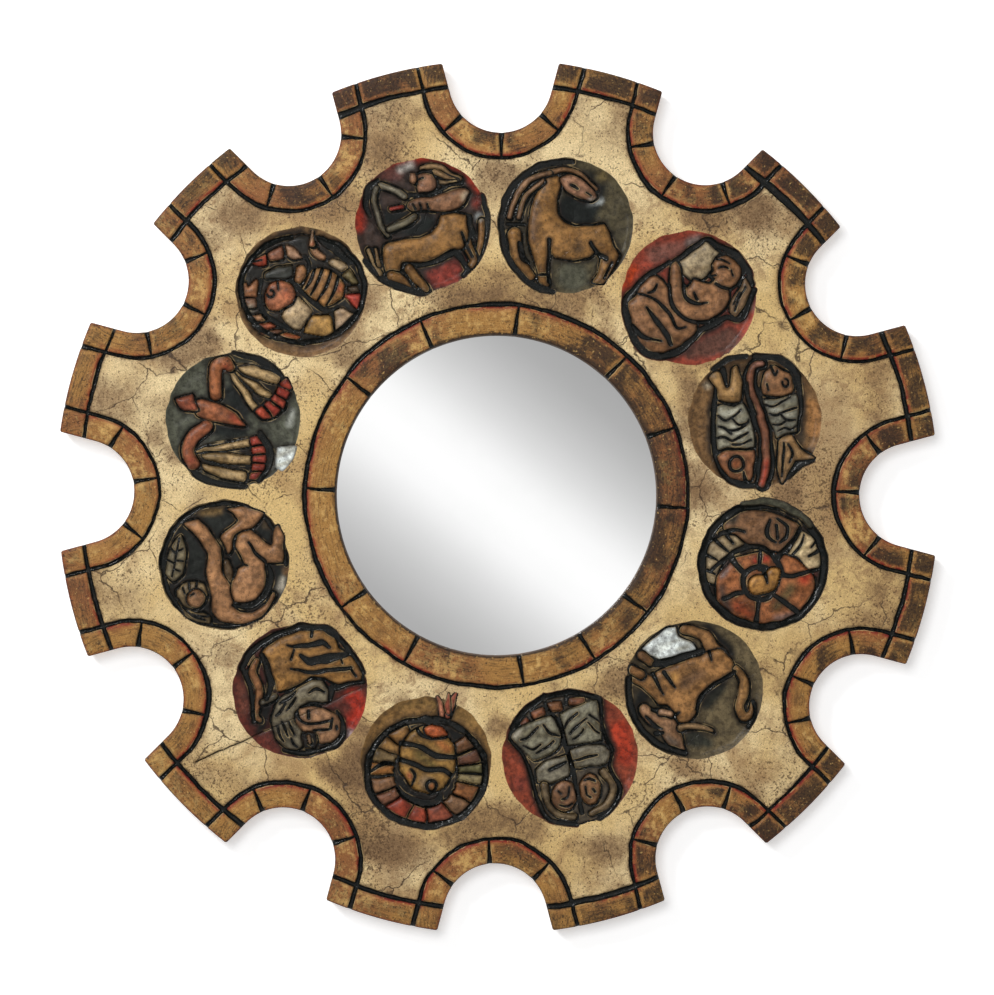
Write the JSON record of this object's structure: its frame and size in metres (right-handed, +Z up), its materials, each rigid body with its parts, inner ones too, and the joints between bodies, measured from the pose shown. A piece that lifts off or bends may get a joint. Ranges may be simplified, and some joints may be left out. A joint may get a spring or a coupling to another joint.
{
  "type": "round carved wall mirror",
  "caption": "Cog-shaped round wall mirror: carved and painted wood panel with sunk zodiac medallions, a round glass held from behind by turn buttons, and ring hangers.",
  "frame": {"origin": "on the wall plane, on the mirror's axis", "axes": "front faces -Y, +Z up, +X to the right as seen from the front"},
  "size_m": [0.6836, 0.03, 0.6836],
  "materials": {
    "carved_wood": "carved, gessoed, gilded ochre and cream with crackle, dark glaze in the grooves",
    "dowel_wood": "plain beech",
    "mirror_glass": "silvered float glass",
    "hardboard": "brown hardboard",
    "button_brass": "dull stamped",
    "screw_steel": "zinc plated",
    "hanger_steel": "nickel plated",
    "bumper_rubber": "matte black"
  },
  "bodies": {
    "frame": {"upper_plank": "carved_wood", "lower_plank": "carved_wood", "left_block": "carved_wood", "right_block": "carved_wood", "upper_joint_dowels": "dowel_wood", "lower_joint_dowels": "dowel_wood", "mirror_glass": "mirror_glass", "backing_disc": "hardboard", "turn_button_screws": "screw_steel", "hanger_screws": "screw_steel", "hanger_strap_left": "hanger_steel", "hanger_strap_right": "hanger_steel", "wall_bumper_left": "bumper_rubber", "wall_bumper_right": "bumper_rubber"},
    "turn_button_1_body": {"turn_button_1": "button_brass"},
    "turn_button_2_body": {"turn_button_2": "button_brass"},
    "turn_button_3_body": {"turn_button_3": "button_brass"},
    "turn_button_4_body": {"turn_button_4": "button_brass"},
    "hanger_ring_left_body": {"hanger_ring_left": "hanger_steel"},
    "hanger_ring_right_body": {"hanger_ring_right": "hanger_steel"}
  },
  "joints": [
    {"name": "turn_button_1_turn", "type": "hinge", "parent": "frame", "child": "turn_button_1_body", "pos_m": [0.10182, -0.005, 0.10182], "axis": [0, 1, 0], "continuous": true},
    {"name": "turn_button_2_turn", "type": "hinge", "parent": "frame", "child": "turn_button_2_body", "pos_m": [-0.10182, -0.005, 0.10182], "axis": [0, 1, 0], "continuous": true},
    {"name": "turn_button_3_turn", "type": "hinge", "parent": "frame", "child": "turn_button_3_body", "pos_m": [-0.10182, -0.005, -0.10182], "axis": [0, 1, 0], "continuous": true},
    {"name": "turn_button_4_turn", "type": "hinge", "parent": "frame", "child": "turn_button_4_body", "pos_m": [0.10182, -0.005, -0.10182], "axis": [0, 1, 0], "continuous": true},
    {"name": "hanger_ring_left_swing", "type": "hinge", "parent": "frame", "child": "hanger_ring_left_body", "pos_m": [-0.12, -0.00342, 0.225], "axis": [-1, 0, 0], "range_deg": [0, 165]},
    {"name": "hanger_ring_right_swing", "type": "hinge", "parent": "frame", "child": "hanger_ring_right_body", "pos_m": [0.12, -0.00342, 0.225], "axis": [-1, 0, 0], "range_deg": [0, 165]}
  ]
}
